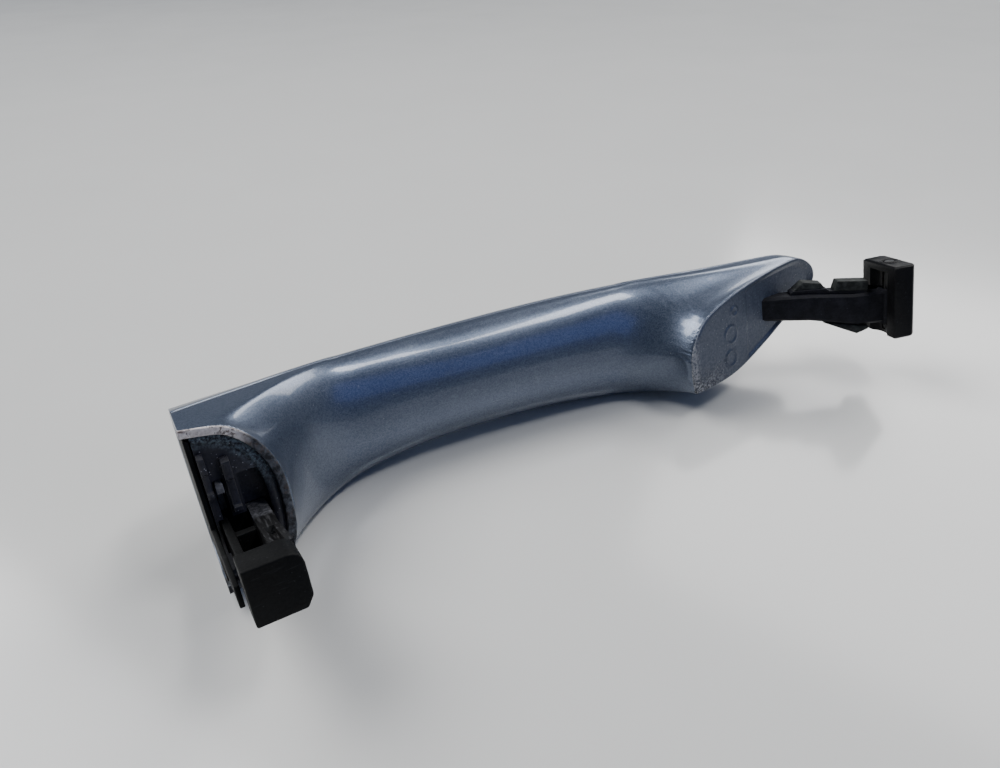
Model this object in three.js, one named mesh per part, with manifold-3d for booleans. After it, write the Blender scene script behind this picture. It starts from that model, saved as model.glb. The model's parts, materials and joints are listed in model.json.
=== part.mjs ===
// Exterior car door handle, strap type: two painted shells over a plastic beam, a hinge arm with
// its bearing head at the front and a pull hook at the rear.
//
// Handle frame (millimetres): X runs from the rear cut end to the front nose, Y points away from
// the door, with Y = 0 on the rear pad that faces the door skin, and Z runs across the strap.
// The last group lays the handle on a flat surface, the way it rests off the car: +Z is up there.

import * as THREE from 'three';
import { LoftGeometry } from 'three/addons/geometries/LoftGeometry.js';
import { mergeVertices } from 'three/addons/utils/BufferGeometryUtils.js';
import Module from 'manifold-3d';

const wasm = await Module();
wasm.setup();

// ---------------------------------------------------------------- driving dimensions

const LENGTH = 198;            // rear cut end to nose
const WALL = 2;                // shell wall, and the painted rim round the rear pad
const FIT = 0.3;               // gap between neighbouring pieces
const SEAM = 0.5;              // half of the gap between the two painted shells
const NOSE_START = 183;        // where the rounded nose begins
const DRAFT = 0.1;             // flank lean between pad and widest line

const REAR_PAD = { depth: 19.4, half: 20.9, z: 0.7, flare: 18, rise: 24 };
const FRONT_PAD = { x: 140, slope: Math.tan(THREE.MathUtils.degToRad(8)), flare: 9, rise: 18 };

const CARRIER = { x0: 1.8, floor: 1.4, back: 11 };
const BLOCK = { x0: 1.9, x1: 13.6, y0: -33.8, y1: -26, z0: -10, z1: 2.5 };
const FRAME = { x0: 2.8, x1: 9, y0: -25.7, y1: 6.6, z0: -10, z1: -2.4 };

const ARM = { x: 173.5, y: 7.5, angle: THREE.MathUtils.degToRad(-34.3) };
const HEAD = { x: 205, y: -14, turn: THREE.MathUtils.degToRad(-20), thick: 6.8, wide: 16.2, z0: -12, z1: 10.3 };
const BOSS = { radius: 3.3, z0: -8.6, z1: 2 };
const HEAD_ROOM = 0.5;         // room round the boss in the head
const PIN_RADIUS = 1.5;
const SWING = THREE.MathUtils.degToRad(18);          // travel of the head on its pin

const REST_TILT = THREE.MathUtils.degToRad(-15.3);   // the strap leans on its lower edge, pads down
const REST_FLAT = 0.3;         // depth of the flat worn on that edge

// ---------------------------------------------------------------- outline curves along X

// A smooth curve through [x, value] knots.
function curveThrough(knots) {
  const xs = new Float32Array(knots.map((k) => k[0]));
  const values = new Float32Array(knots.map((k) => k[1]));
  const curve = new THREE.CubicInterpolant(xs, values, 1);
  return (x) => curve.evaluate(THREE.MathUtils.clamp(x, xs[0], xs[xs.length - 1]))[0];
}

const topEdge = curveThrough([[0, 22.4], [30, 19.2], [60, 18], [120, 17.2], [160, 15.8], [184, 14.6], [199, 13.4]]);
const bottomEdge = curveThrough(
  [[0, -21], [30, -17], [60, -14.6], [100, -15.4], [140, -18], [158, -16], [172, -10.5], [184, -5], [199, -2]]);
const outerFace = curveThrough([[0, 30], [30, 38], [60, 40.6], [100, 39], [140, 31.8], [180, 18.8], [199, 12]]);
const widestLine = curveThrough(
  [[0, 11], [15, 19.5], [30, 27], [60, 31.5], [100, 29.5], [130, 24.5], [160, 16], [199, 10]]);
const gripFace = curveThrough(
  [[0, 7], [20, 18], [38, 24.4], [60, 26], [82, 23.8], [118, 20], [140, 16.4], [160, 11.4], [199, 8.6]]);

// The nose closes like a quarter ellipse: 1 along the strap, 0 at the tip.
function noseScale(x, inset) {
  const t = Math.max(0, (x - NOSE_START) / (LENGTH - inset - NOSE_START));
  return Math.sqrt(Math.max(0, 1 - t * t));
}

function padPlane(x) {
  return (x - FRONT_PAD.x) * FRONT_PAD.slope;
}

// ---------------------------------------------------------------- solids

function toSolid(geometry) {
  const bare = new THREE.BufferGeometry();
  bare.setAttribute('position', geometry.attributes.position);
  bare.setIndex(geometry.index);
  const merged = mergeVertices(bare, 1e-4);
  const mesh = new wasm.Mesh({
    numProp: 3,
    vertProperties: new Float32Array(merged.attributes.position.array),
    triVerts: new Uint32Array(merged.index.array),
  });
  return new wasm.Manifold(mesh);
}

function toGeometry(solid) {
  const mesh = solid.getMesh();
  const geometry = new THREE.BufferGeometry();
  geometry.setAttribute('position', new THREE.BufferAttribute(mesh.vertProperties, 3));
  geometry.setIndex(new THREE.BufferAttribute(mesh.triVerts, 1));
  geometry.computeVertexNormals();
  return geometry;
}

function box(x0, x1, y0, y1, z0, z1) {
  const geometry = new THREE.BoxGeometry(x1 - x0, y1 - y0, z1 - z0);
  geometry.translate((x0 + x1) / 2, (y0 + y1) / 2, (z0 + z1) / 2);
  return toSolid(geometry);
}

// An outline of [x, y] points pushed along Z.
function prismXY(points, z0, z1, bevel = 0) {
  const shape = new THREE.Shape(points.map(([x, y]) => new THREE.Vector2(x, y)));
  const geometry = new THREE.ExtrudeGeometry(shape, {
    depth: z1 - z0 - 2 * bevel,
    bevelEnabled: bevel > 0,
    bevelThickness: bevel,
    bevelSize: bevel,
    bevelOffset: -bevel,
    bevelSegments: 1,
  });
  geometry.translate(0, 0, z0 + bevel);
  return toSolid(geometry);
}

// An outline of [y, z] points pushed along X.
function prismYZ(points, x0, x1) {
  const shape = new THREE.Shape(points.map(([y, z]) => new THREE.Vector2(y, z)));
  const geometry = new THREE.ExtrudeGeometry(shape, { depth: x1 - x0, bevelEnabled: false });
  geometry.applyMatrix4(new THREE.Matrix4().makeBasis(
    new THREE.Vector3(0, 1, 0), new THREE.Vector3(0, 0, 1), new THREE.Vector3(1, 0, 0)));
  geometry.translate(x0, 0, 0);
  return toSolid(geometry);
}

// An outline of [x, z] points pushed along Y.
function prismXZ(points, y0, y1) {
  const shape = new THREE.Shape(points.map(([x, z]) => new THREE.Vector2(x, z)));
  const geometry = new THREE.ExtrudeGeometry(shape, { depth: y1 - y0, bevelEnabled: false });
  geometry.rotateX(Math.PI / 2);
  geometry.translate(0, y1, 0);
  return toSolid(geometry);
}

function loft(sections) {
  return toSolid(new LoftGeometry(sections, { capStart: true, capEnd: true }));
}

// ---------------------------------------------------------------- strap body

// Steps on each half of a section ring, and sections along the strap: finer on the outside.
const OUTSIDE = { ring: 16, stations: 32 };
const INSIDE = { ring: 10, stations: 22 };

function meshSteps(inset) {
  return inset < 1 ? OUTSIDE : INSIDE;
}

// The hollow starts before the cut end, so that it opens there.
function stationX(i, inset) {
  const start = inset > 0 ? -1 : 0;
  const t = i / meshSteps(inset).stations;
  const span = LENGTH - inset - 0.15 - start;
  return start + span * (t + 0.06 * Math.sin(2 * Math.PI * t));
}

function power(value, exponent) {
  return Math.sign(value) * Math.abs(value) ** exponent;
}

// One section of the strap, inset from its surface: outer half, then the inner half.
function strapRing(x, inset, innerDepth) {
  const nose = noseScale(x, inset);
  const middle = (topEdge(x) + bottomEdge(x)) / 2;
  const half = ((topEdge(x) - bottomEdge(x)) / 2 - inset) * nose;
  const widest = widestLine(x);
  const outer = Math.max(outerFace(x) - widest - inset, 0.5) * nose;
  const ring = [];
  const steps = meshSteps(inset).ring;
  for (let i = 0; i < steps; i += 1) {
    const angle = -Math.PI / 2 + Math.PI * i / steps;
    ring.push(new THREE.Vector3(
      x, widest + outer * power(Math.cos(angle), 0.9), middle + half * power(Math.sin(angle), 0.9)));
  }
  for (let i = 0; i < steps; i += 1) {
    const angle = Math.PI / 2 + Math.PI * i / steps;
    ring.push(innerDepth(x, angle, widest, middle, half, nose));
  }
  return ring;
}

// The rounded inner half of the grip.
function gripHalf(inset) {
  return (x, angle, widest, middle, half, nose) => {
    const depth = Math.max(widest - gripFace(x) - inset, 0.5) * nose;
    return new THREE.Vector3(
      x, widest + depth * power(Math.cos(angle), 0.85), middle + half * power(Math.sin(angle), 0.85));
  };
}

// A flat-bottomed inner half that reaches past both pads: the outer limit of every foot.
function envelopeHalf() {
  return (x, angle, widest, middle, half, nose) => {
    const floor = -3;
    const lean = DRAFT * (widest - floor) * nose;
    const across = Math.cos(angle) < -0.1 ? 1 : 0;
    const y = across ? floor : widest;
    return new THREE.Vector3(x, y, middle + (half - across * lean) * Math.sign(Math.sin(angle))
      * (across ? Math.min(1, Math.abs(Math.sin(angle)) * 1.005) : 1));
  };
}

function strapLoft(inset, innerHalf) {
  const sections = [];
  for (let i = 0; i <= meshSteps(inset).stations; i += 1) {
    sections.push(strapRing(stationX(i, inset), inset, innerHalf));
  }
  return loft(sections);
}

const FLARE_STEPS = 9;

// Levels of a foot: the outline grows along a quarter ellipse as it rises to the grip face.
// The hollow's levels are the same curve moved into the solid by the inset.
function footLevels(pad, inset, floor) {
  const levels = [{ y: floor, grow: -inset }];
  for (let i = 0; i <= FLARE_STEPS; i += 1) {
    const angle = Math.PI / 2 * i / FLARE_STEPS;
    const across = pad.rise * Math.cos(angle);
    const along = pad.flare * Math.sin(angle);
    const size = Math.hypot(across, along);
    levels.push({
      y: pad.rise * Math.sin(angle) + inset * along / size,
      grow: Math.min(pad.flare * (1 - Math.cos(angle)) - inset * across / size, pad.flare - inset),
    });
  }
  levels.push({ y: pad.rise + inset + 5, grow: pad.flare - inset });
  return levels.filter((level, i) => i === 0 || level.y > floor + 0.01);
}

// Half-ellipse outline of the rear pad, grown outwards; its straight side lies past the cut end.
function rearOutline(grow) {
  const points = [new THREE.Vector2(-3, REAR_PAD.z + REAR_PAD.half + grow)];
  const steps = 24;
  for (let i = 0; i <= steps; i += 1) {
    const angle = Math.PI / 2 - Math.PI * i / steps;
    const fullness = angle < 0 ? 0.84 : 1;
    points.push(new THREE.Vector2(
      (REAR_PAD.depth + grow) * power(Math.cos(angle), fullness),
      REAR_PAD.z + (REAR_PAD.half + grow) * power(Math.sin(angle), fullness)));
  }
  points.push(new THREE.Vector2(-3, REAR_PAD.z - REAR_PAD.half - grow));
  return points;
}

// Left and upper edge of the front pad as seen from the door; the other sides are the strap's own.
const frontEdge = new THREE.SplineCurve([
  [3, -34], [1.2, -22], [-1.6, -15], [-2.3, -8], [-1, -1.6], [4.5, 5.2], [14, 8.8], [26, 11.2],
  [40, 12.8], [54, 12.8], [68, 11.6],
].map(([x, z]) => new THREE.Vector2(x, z)));

function frontOutline(grow) {
  const points = [];
  const steps = 26;
  for (let i = 0; i <= steps; i += 1) {
    const point = frontEdge.getPoint(i / steps);
    const along = frontEdge.getTangent(i / steps);
    points.push(new THREE.Vector2(point.x - along.y * grow, point.y + along.x * grow));
  }
  points.push(new THREE.Vector2(70, -34));
  return points;
}

function rearFoot(inset, floor) {
  return loft(footLevels(REAR_PAD, inset, floor).map(({ y, grow }) => (
    rearOutline(grow).map((p) => new THREE.Vector3(p.x, y, p.y)))));
}

function frontFoot(inset, floor) {
  return loft(footLevels(FRONT_PAD, inset, floor).map(({ y, grow }) => (
    frontOutline(grow).map((p) => (
      new THREE.Vector3(FRONT_PAD.x + p.x, y + p.x * FRONT_PAD.slope, p.y))))));
}

// The whole strap, inset from its surface. openRear leaves the rear pad open to the door.
function strap(inset, openRear) {
  const envelope = strapLoft(inset, envelopeHalf());
  const rear = rearFoot(inset, openRear ? -2 : 0);
  const front = frontFoot(inset, inset);
  return strapLoft(inset, gripHalf(inset)).add(rear).add(front).intersect(envelope);
}

// ---------------------------------------------------------------- painted shells

// Everything on the outer side of the parting line, moved by a shift along Y.
function outerSide(shift) {
  const points = [];
  for (let x = -4; x <= LENGTH + 4; x += 8) {
    points.push([x, widestLine(x) + shift]);
  }
  points.push([LENGTH + 12, widestLine(LENGTH) + shift], [LENGTH + 12, 60], [-4, 60]);
  return prismXY(points, -40, 40);
}

// Everything below the level that the leaning strap rests on.
function restingSlab() {
  const degrees = THREE.MathUtils.radToDeg(REST_TILT);
  const level = strap(0, false).rotate([degrees, 0, 0]).boundingBox().min[2] + REST_FLAT;
  return box(-1, LENGTH, -60, 60, level - 10, level).rotate([-degrees, 0, 0]);
}

function paintedShell() {
  return strap(0, false).subtract(strap(WALL, true)).subtract(restingSlab());
}

function outerShell() {
  return paintedShell().intersect(outerSide(SEAM));
}

function gripShell() {
  return paintedShell().subtract(outerSide(-SEAM)).subtract(armBar(FIT + 0.1));
}

function seamGasket() {
  return strap(0.6, false).subtract(strap(WALL - 0.2, true))
    .intersect(outerSide(FIT - SEAM)).subtract(outerSide(SEAM - FIT))
    .intersect(box(FIT, LENGTH, -5, 60, -40, 40));
}

// ---------------------------------------------------------------- beam inside the strap

const BEAM_INSET = WALL + 1;
const STIFFENER = { x0: 46, x1: 126, y0: 30, y1: 32, z0: -6, z1: 8 };
const SCREW = { head: 2.4, headDepth: 1.5, shank: 1.2 };

// The front screws stand behind the pad, the rear ones behind the carrier.
const SCREW_PLACES = {
  rear_screw_upper: { x: 9, y: 8, z: 12, length: 12 },
  rear_screw_lower: { x: 9, y: 8, z: -14, length: 12 },
  front_screw_upper: { x: 152, y: 5, z: 4, length: 11 },
  front_screw_lower: { x: 152, y: 5, z: -9, length: 11 },
};

// A pan-head screw standing along +Y, its tip at the origin.
function screwSolid(place, grow) {
  const profile = [
    [0, 0], [SCREW.shank + grow, 0], [SCREW.shank + grow, place.length],
    [SCREW.head + grow, place.length], [SCREW.head + grow, place.length + SCREW.headDepth + grow],
    [0, place.length + SCREW.headDepth + grow],
  ].map(([r, y]) => new THREE.Vector2(r, y));
  return toSolid(new THREE.LatheGeometry(profile, 16)).translate(place.x, place.y, place.z);
}

// The hole for a screw, open above its head.
function screwHole(place) {
  return screwSolid(place, FIT).add(box(
    place.x - SCREW.head - FIT, place.x + SCREW.head + FIT, place.y + place.length, 60,
    place.z - SCREW.head - FIT, place.z + SCREW.head + FIT));
}

function plateBand(from, to) {
  const x0 = 143;
  const x1 = 186;
  return prismXY([
    [x0, padPlane(x0) + from], [x1, padPlane(x1) + from], [x1, padPlane(x1) + to], [x0, padPlane(x0) + to],
  ], -12, 9);
}

function frontMountPlate() {
  let plate = plateBand(WALL + 1, WALL + 4.2).intersect(strap(BEAM_INSET, false)).subtract(armBar(FIT));
  for (const name of ['front_screw_upper', 'front_screw_lower']) {
    plate = plate.subtract(screwHole(SCREW_PLACES[name]));
  }
  return plate;
}

function coreBeam() {
  let beam = strap(BEAM_INSET, true).intersect(box(CARRIER.x0, 184, -5, 60, -40, 40))
    .subtract(box(-5, 44, -5, CARRIER.back + FIT, -40, 40))
    .subtract(plateBand(-9, WALL + 4.2 + FIT))
    .subtract(armBar(FIT));
  beam = beam.subtract(box(
    STIFFENER.x0 - FIT, STIFFENER.x1 + FIT, STIFFENER.y0 - FIT, 60, STIFFENER.z0 - FIT, STIFFENER.z1 + FIT));
  for (const place of Object.values(SCREW_PLACES)) {
    beam = beam.subtract(screwHole(place));
  }
  for (const x of [24, 36]) {
    beam = beam.subtract(box(x, x + 9, 24, 60, -9, 11));
  }
  return beam;
}

function gripStiffener() {
  return box(STIFFENER.x0, STIFFENER.x1, STIFFENER.y0, STIFFENER.y1, STIFFENER.z0, STIFFENER.z1);
}

// ---------------------------------------------------------------- hinge arm and bearing head

// The arm leaves the front pad slanting towards the door; [along, low, high, width] stations.
const ARM_STATIONS = [
  [-7, -2.8, 4.4, 7], [0, -3, 4.4, 7], [14, -4.6, 3.6, 7], [27, -7.6, 2, 6.2], [32, -8.2, 1.8, 5], [38, -8.3, 1.7, 4.6],
];

function armPoint(along, across, z) {
  const cos = Math.cos(ARM.angle);
  const sin = Math.sin(ARM.angle);
  return new THREE.Vector3(
    ARM.x + along * cos - across * sin, ARM.y + along * sin + across * cos, z);
}

function armBar(grow) {
  const chamfer = 0.8;
  return loft(ARM_STATIONS.map(([along, low, high, width]) => {
    const w = width / 2 + grow;
    const z0 = low - grow;
    const z1 = high + grow;
    return [
      [w - chamfer, z0], [w, z0 + chamfer], [w, z1 - chamfer], [w - chamfer, z1],
      [chamfer - w, z1], [-w, z1 - chamfer], [-w, z0 + chamfer], [chamfer - w, z0],
    ].map(([across, z]) => armPoint(along, across, z));
  }));
}

// A block on the arm, given by its side outline [along, z].
function armBlock(outline, across0, across1) {
  const sides = [across1, across0].map((across) => (
    outline.map(([along, z]) => armPoint(along, across, z))));
  return loft(sides);
}

function cylinderZ(x, y, radius, z0, z1, sides = 32) {
  const geometry = new THREE.CylinderGeometry(radius, radius, z1 - z0, sides);
  geometry.rotateX(Math.PI / 2);
  geometry.translate(x, y, (z0 + z1) / 2);
  return toSolid(geometry);
}

function frontArm() {
  return armBar(0).add(cylinderZ(HEAD.x, HEAD.y, BOSS.radius, BOSS.z0, BOSS.z1))
    .subtract(cylinderZ(HEAD.x, HEAD.y, PIN_RADIUS + FIT, BOSS.z0 - 5, BOSS.z1 + 5));
}

const ARM_BLOCKS = {
  arm_ramp_root: () => armBlock([[9.5, 4.9], [19, 4.4], [18, 6.4], [12.5, 7.4]], -1.4, 3),
  arm_ramp_tip: () => armBlock([[21.5, 3.6], [31.4, 2.6], [31.4, 5.6], [22.5, 6.6]], -2.2, 2.4),
  arm_wedge: () => armBlock([[18, -6], [28, -10.9], [31.4, -9.6], [31.4, -8.6], [27, -8]], -2.4, 2.2),
};

// The shoe's own frame: the pin stands at its origin and the arm comes in from -X.
function hingeHead() {
  const half = { x: HEAD.thick / 2, y: HEAD.wide / 2 };
  const rounding = 1.1;
  const outline = [
    [half.x - rounding, -half.y], [half.x, rounding - half.y], [half.x, half.y - rounding],
    [half.x - rounding, half.y], [-half.x, half.y], [-half.x, -half.y],
  ];
  let head = prismXY(outline, HEAD.z0, HEAD.z1, 0.5);
  head = head.subtract(cylinderZ(-half.x - 4.6, 0, 6.4, HEAD.z0 - 1, HEAD.z1 - 2.2, 40));
  const low = BOSS.z0 - HEAD_ROOM;
  const high = BOSS.z1 + HEAD_ROOM;
  const clear = BOSS.radius + HEAD_ROOM;
  const reach = 14;
  const arm = ARM.angle - HEAD.turn - 0.06;
  // A point beside the arm's axis: along it from the pin, across it to one side.
  const beside = (angle, along, side) => [
    -along * Math.cos(angle) - side * clear * Math.sin(angle),
    -along * Math.sin(angle) + side * clear * Math.cos(angle)];
  const swept = prismXY([
    beside(arm, reach, -1), beside(arm - SWING, reach, 1),
    beside(arm - SWING, 0, 1), beside(arm, 0, -1),
  ], low, high);
  return head.subtract(cylinderZ(0, 0, clear, low, high))
    .subtract(swept)
    .subtract(cylinderZ(0, 0, PIN_RADIUS + FIT, HEAD.z0 + 1, HEAD.z1 + 1));
}

function hingePin() {
  return cylinderZ(0, 0, PIN_RADIUS, HEAD.z0 + 1 + FIT, HEAD.z1 + 0.1, 24);
}

// ---------------------------------------------------------------- carrier in the rear pad

function rearPlug(inset, y0, y1) {
  return prismXZ(rearOutline(-inset).map((p) => [p.x, p.y]).reverse(), y0, y1)
    .intersect(box(CARRIER.x0, 60, -10, 60, -40, 40));
}

// Left, right, depth, bottom and top of each pocket.
const POCKETS = {
  side: [8.9, 16, 6, -10, 7.4],        // beside the right rail
  slot: [3.6, 5.8, 8, -3.4, 7.2],      // round and below the tongue
  hook: [2.4, 14.4, 8, -10.6, -2.2],   // round the root of the hook
};

function rearCarrier() {
  let carrier = rearPlug(WALL + FIT, CARRIER.floor, CARRIER.back);
  for (const [x0, x1, depth, z0, z1] of Object.values(POCKETS)) {
    carrier = carrier.subtract(box(x0, x1, -5, depth, z0, z1));
  }
  for (const name of ['rear_screw_upper', 'rear_screw_lower']) {
    carrier = carrier.subtract(screwHole(SCREW_PLACES[name]));
  }
  return carrier.intersect(strap(WALL + FIT, true));
}

// A guide rail standing on the carrier: high at the top, one step lower below.
function rail(x0, x1, top, step, bottom) {
  const foot = CARRIER.floor - FIT;
  return prismYZ([
    [foot, bottom], [foot, top], [0.2, top], [-0.9, top - 0.9], [-0.9, step + 0.4], [0, step],
    [0, bottom + 1.6], [-0.6, bottom + 1.2], [-0.6, bottom],
  ], x0, x1);
}

function latchTongue() {
  return prismYZ([[4.2, 6.9], [-0.4, 6.9], [-0.9, 6.2], [-0.5, 4.6], [7, 4.6], [7, 5.3], [4.2, 5.3]], 3.9, 5.5);
}

function tongueSpring() {
  return prismYZ([[7.3, 3.9], [7.3, -2.6], [7.7, -2.6], [7.7, 3.9]], 4, 5.4);
}

function endPlate() {
  const lug = prismYZ([[2, -9.6], [2, -3.4], [-25, -4.6], [-25, -9.6]], 0.4, 1.5);
  return strap(WALL + FIT, true).intersect(box(0.4, 1.5, 0.6, 60, -40, 40)).add(lug);
}

// ---------------------------------------------------------------- pull hook

function pullHook() {
  const side = box(FRAME.x0, FRAME.x0 + 1.8, FRAME.y0, FRAME.y1, FRAME.z0, FRAME.z1);
  const floor = box(FRAME.x0, FRAME.x1, FRAME.y0, FRAME.y1, FRAME.z0, FRAME.z0 + 1.4);
  const root = box(FRAME.x0, FRAME.x1, 4, FRAME.y1, FRAME.z0, FRAME.z1);
  const webNear = box(FRAME.x0, FRAME.x1, -7.6, -5.4, FRAME.z0, FRAME.z1 - 0.4);
  const webFar = box(FRAME.x0, FRAME.x1, -17, -14.6, FRAME.z0, FRAME.z1 - 1);
  const nose = box(FRAME.x0, FRAME.x1, FRAME.y0, -22.6, FRAME.z0, 0);
  return side.add(floor).add(root).add(webNear).add(webFar).add(nose);
}

function hookCheek() {
  const x0 = FRAME.x1 + FIT;
  const x1 = 13.7;
  const web = prismYZ([[6.6, -9.6], [6.6, -2.6], [-9.6, -2.4], [-10.4, -4], [-25.7, -1], [-25.7, -9.6]], x0, x1);
  const ridge = [[-9, -4.6], [-9, -2.4], [-9.8, -2.2], [-25.7, 1.2], [-25.7, -3]];
  return web.add(prismYZ(ridge, x0, x0 + 1)).add(prismYZ(ridge, x1 - 1.4, x1));
}

// Outline of the block seen from the door: one corner chamfered, one rounded.
function hookBlock() {
  const round = 3;
  const outline = [[BLOCK.x0, BLOCK.z0], [BLOCK.x1 - 1.6, BLOCK.z0], [BLOCK.x1, BLOCK.z0 + 2.4],
    [BLOCK.x1, BLOCK.z1 - round]];
  for (let i = 1; i <= 4; i += 1) {
    const angle = Math.PI / 2 * i / 4;
    outline.push([
      BLOCK.x1 - round + round * Math.cos(angle), BLOCK.z1 - round + round * Math.sin(angle)]);
  }
  outline.push([BLOCK.x0, BLOCK.z1]);
  return prismXZ(outline, BLOCK.y0, BLOCK.y1);
}

// ---------------------------------------------------------------- materials and assembly

function material(color, roughness, metalness) {
  return new THREE.MeshStandardMaterial({ color, roughness, metalness });
}

const paint = material(0x7d8ca0, 0.32, 0.65);
const blackPlastic = material(0x1b1c1f, 0.55, 0);
const greyPlastic = material(0x6d6f74, 0.7, 0);
const beamPlastic = material(0x2a2b2e, 0.7, 0);
const gasketRubber = material(0x141416, 0.85, 0);
const steel = material(0xa4a6a8, 0.35, 1);

function piece(name, solid, look) {
  const mesh = new THREE.Mesh(toGeometry(solid), look);
  mesh.name = name;
  return mesh;
}

const handle = new THREE.Group();
handle.name = 'handle';
handle.add(
  piece('outer_shell', outerShell(), paint),
  piece('grip_shell', gripShell(), paint),
  piece('seam_gasket', seamGasket(), gasketRubber),
  piece('core_beam', coreBeam(), beamPlastic),
  piece('grip_stiffener', gripStiffener(), steel),
  piece('front_mount_plate', frontMountPlate(), beamPlastic),
  piece('front_arm', frontArm(), blackPlastic),
  piece('rear_carrier', rearCarrier(), blackPlastic),
  piece('rail_left', rail(1.9, 3.3, 14.6, 9.6, 4), blackPlastic),
  piece('rail_right', rail(6.3, 8.2, 12.4, 7, -0.8), blackPlastic),
  piece('latch_tongue', latchTongue(), greyPlastic),
  piece('tongue_spring', tongueSpring(), steel),
  piece('end_plate', endPlate(), blackPlastic),
  piece('pull_hook', pullHook(), blackPlastic),
  piece('hook_cheek', hookCheek(), greyPlastic),
  piece('hook_block', hookBlock(), blackPlastic),
);
for (const [name, make] of Object.entries(ARM_BLOCKS)) {
  handle.add(piece(name, make(), blackPlastic));
}
for (const [name, place] of Object.entries(SCREW_PLACES)) {
  handle.add(piece(name, screwSolid(place, 0), steel));
}

const shoe = new THREE.Group();
shoe.position.set(HEAD.x, HEAD.y, 0);
shoe.rotation.z = HEAD.turn;
shoe.add(
  piece('hinge_head', hingeHead(), blackPlastic),
  piece('hinge_pin', hingePin(), steel),
);
handle.add(shoe);

const resting = new THREE.Group();
resting.name = 'resting';
resting.rotation.x = REST_TILT;
resting.add(handle);

// The origin is on the surface it rests on, under the middle of its outer box.
const bounds = new THREE.Box3().setFromObject(resting, true);
const middle = bounds.getCenter(new THREE.Vector3());
resting.position.set(-middle.x, -middle.y, -bounds.min.z);

export default resting;
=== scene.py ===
"""A car door pull handle lying on its lower edge: painted shells, plastic hook and hinge arm."""

import json
import math

import bmesh
import bpy
import numpy as np
from mathutils import Matrix, Vector


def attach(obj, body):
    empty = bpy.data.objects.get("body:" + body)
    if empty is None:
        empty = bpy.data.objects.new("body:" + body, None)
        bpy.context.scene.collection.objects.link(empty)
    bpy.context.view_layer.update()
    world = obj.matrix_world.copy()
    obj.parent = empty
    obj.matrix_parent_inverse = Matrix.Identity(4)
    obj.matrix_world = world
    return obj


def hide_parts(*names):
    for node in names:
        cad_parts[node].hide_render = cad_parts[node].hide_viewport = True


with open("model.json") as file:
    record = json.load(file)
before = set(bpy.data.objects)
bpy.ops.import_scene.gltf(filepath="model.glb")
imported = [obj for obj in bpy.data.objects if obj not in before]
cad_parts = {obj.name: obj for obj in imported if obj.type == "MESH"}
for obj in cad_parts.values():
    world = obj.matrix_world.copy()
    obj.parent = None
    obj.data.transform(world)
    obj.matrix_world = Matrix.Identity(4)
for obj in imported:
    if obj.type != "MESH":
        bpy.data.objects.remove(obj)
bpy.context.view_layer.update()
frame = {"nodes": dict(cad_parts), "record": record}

MM = 0.001
HANDLE = "handle"
HEAD = "bearing_head"

# ------------------------------------------------------------------ handle frame
# X runs from the rear cut end to the nose, Y away from the door, Z across the strap (mm).

TILT = math.radians(-15.3)
PIN_PLACE = np.array([205.0, -14.0, 0.0])
JOINT = frame["record"]["behaviour"]["joints"][0]
TURN = np.array([
    [1.0, 0.0, 0.0],
    [0.0, math.cos(TILT), -math.sin(TILT)],
    [0.0, math.sin(TILT), math.cos(TILT)],
])
PIN_ROW = np.array(JOINT["pos_m"])
ORIGIN = PIN_ROW - TURN @ (PIN_PLACE * MM)


def to_row(points):
    """Handle-frame millimetres to row-frame metres: turn by the resting tilt, then shift."""
    return np.asarray(points, float) * MM @ TURN.T + ORIGIN


# ------------------------------------------------------------------ driving dimensions (mm)

LENGTH = 198.0
NOSE_START = 183.0
GRIP_MIDDLE = 80.0
DRAFT = 0.1
SEAM_HALF = 0.28
SKIN_WALL = 1.7
SKIN_START = 0.2
SKIN_REACH = 48.0
FOOT_BLEND = 4.0
FOOT_OVERRUN = 4.0
FLANK_BLEND = 0.8
PAD_LIFT = 0.45
OUTLINE_LIFT = 0.3
FLOOR_STEP = 1.8
REAR_PAD = {
    "depth": 18.9, "half": 20.9, "z": 0.7, "flare": 23.0,
    "fullness_below": 3.2, "fullness_above": 2.1,
}
FRONT_PAD = {"x": 140.0, "slope": math.tan(math.radians(8)), "flare": 13.0}
OUTER_POWER = 2.2
UPPER_POWER = 1.9
LOWER_POWER = 2.6


def curve_through(*knots):
    """A smooth curve through (x, value) knots: cubic pieces with central-difference slopes."""
    xs, values = np.array(knots, float).T
    slopes = np.gradient(values, xs)

    def at(x):
        x = np.clip(x, xs[0], xs[-1])
        i = np.clip(np.searchsorted(xs, x) - 1, 0, len(xs) - 2)
        span = xs[i + 1] - xs[i]
        t = (x - xs[i]) / span
        a, b = values[i], values[i + 1]
        return ((2 * t**3 - 3 * t**2 + 1) * a + (t**3 - 2 * t**2 + t) * span * slopes[i]
                + (3 * t**2 - 2 * t**3) * b + (t**3 - t**2) * span * slopes[i + 1])

    return at


top_edge = curve_through(
    (0, 22.3), (30, 19.1), (60, 18), (120, 17.2), (160, 15.8), (184, 14.6), (199, 13.4))
bottom_edge = curve_through(
    (0, -21), (30, -16.8), (60, -13.8), (100, -14.6), (140, -18), (158, -16), (172, -10.5),
    (184, -5), (199, -2))
outer_face = curve_through(
    (0, 29.9), (30, 37.9), (60, 40.4), (100, 38.9), (140, 31.8), (180, 18.8), (199, 12))
widest_line = curve_through(
    (0, 11), (15, 19.5), (30, 27), (60, 31.5), (100, 29.5), (130, 24.5), (160, 16), (199, 10))
grip_face = curve_through(
    (0, 7), (20, 16), (38, 21.4), (60, 22.6), (82, 21), (118, 17), (140, 14), (160, 11),
    (199, 8.6))


def nose_scale(x):
    """Quarter ellipse: 1 along the strap and 0 at the tip of the nose."""
    t = np.clip((x - NOSE_START) / (LENGTH - NOSE_START), 0, 1)
    return np.sqrt(1 - t * t)


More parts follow.
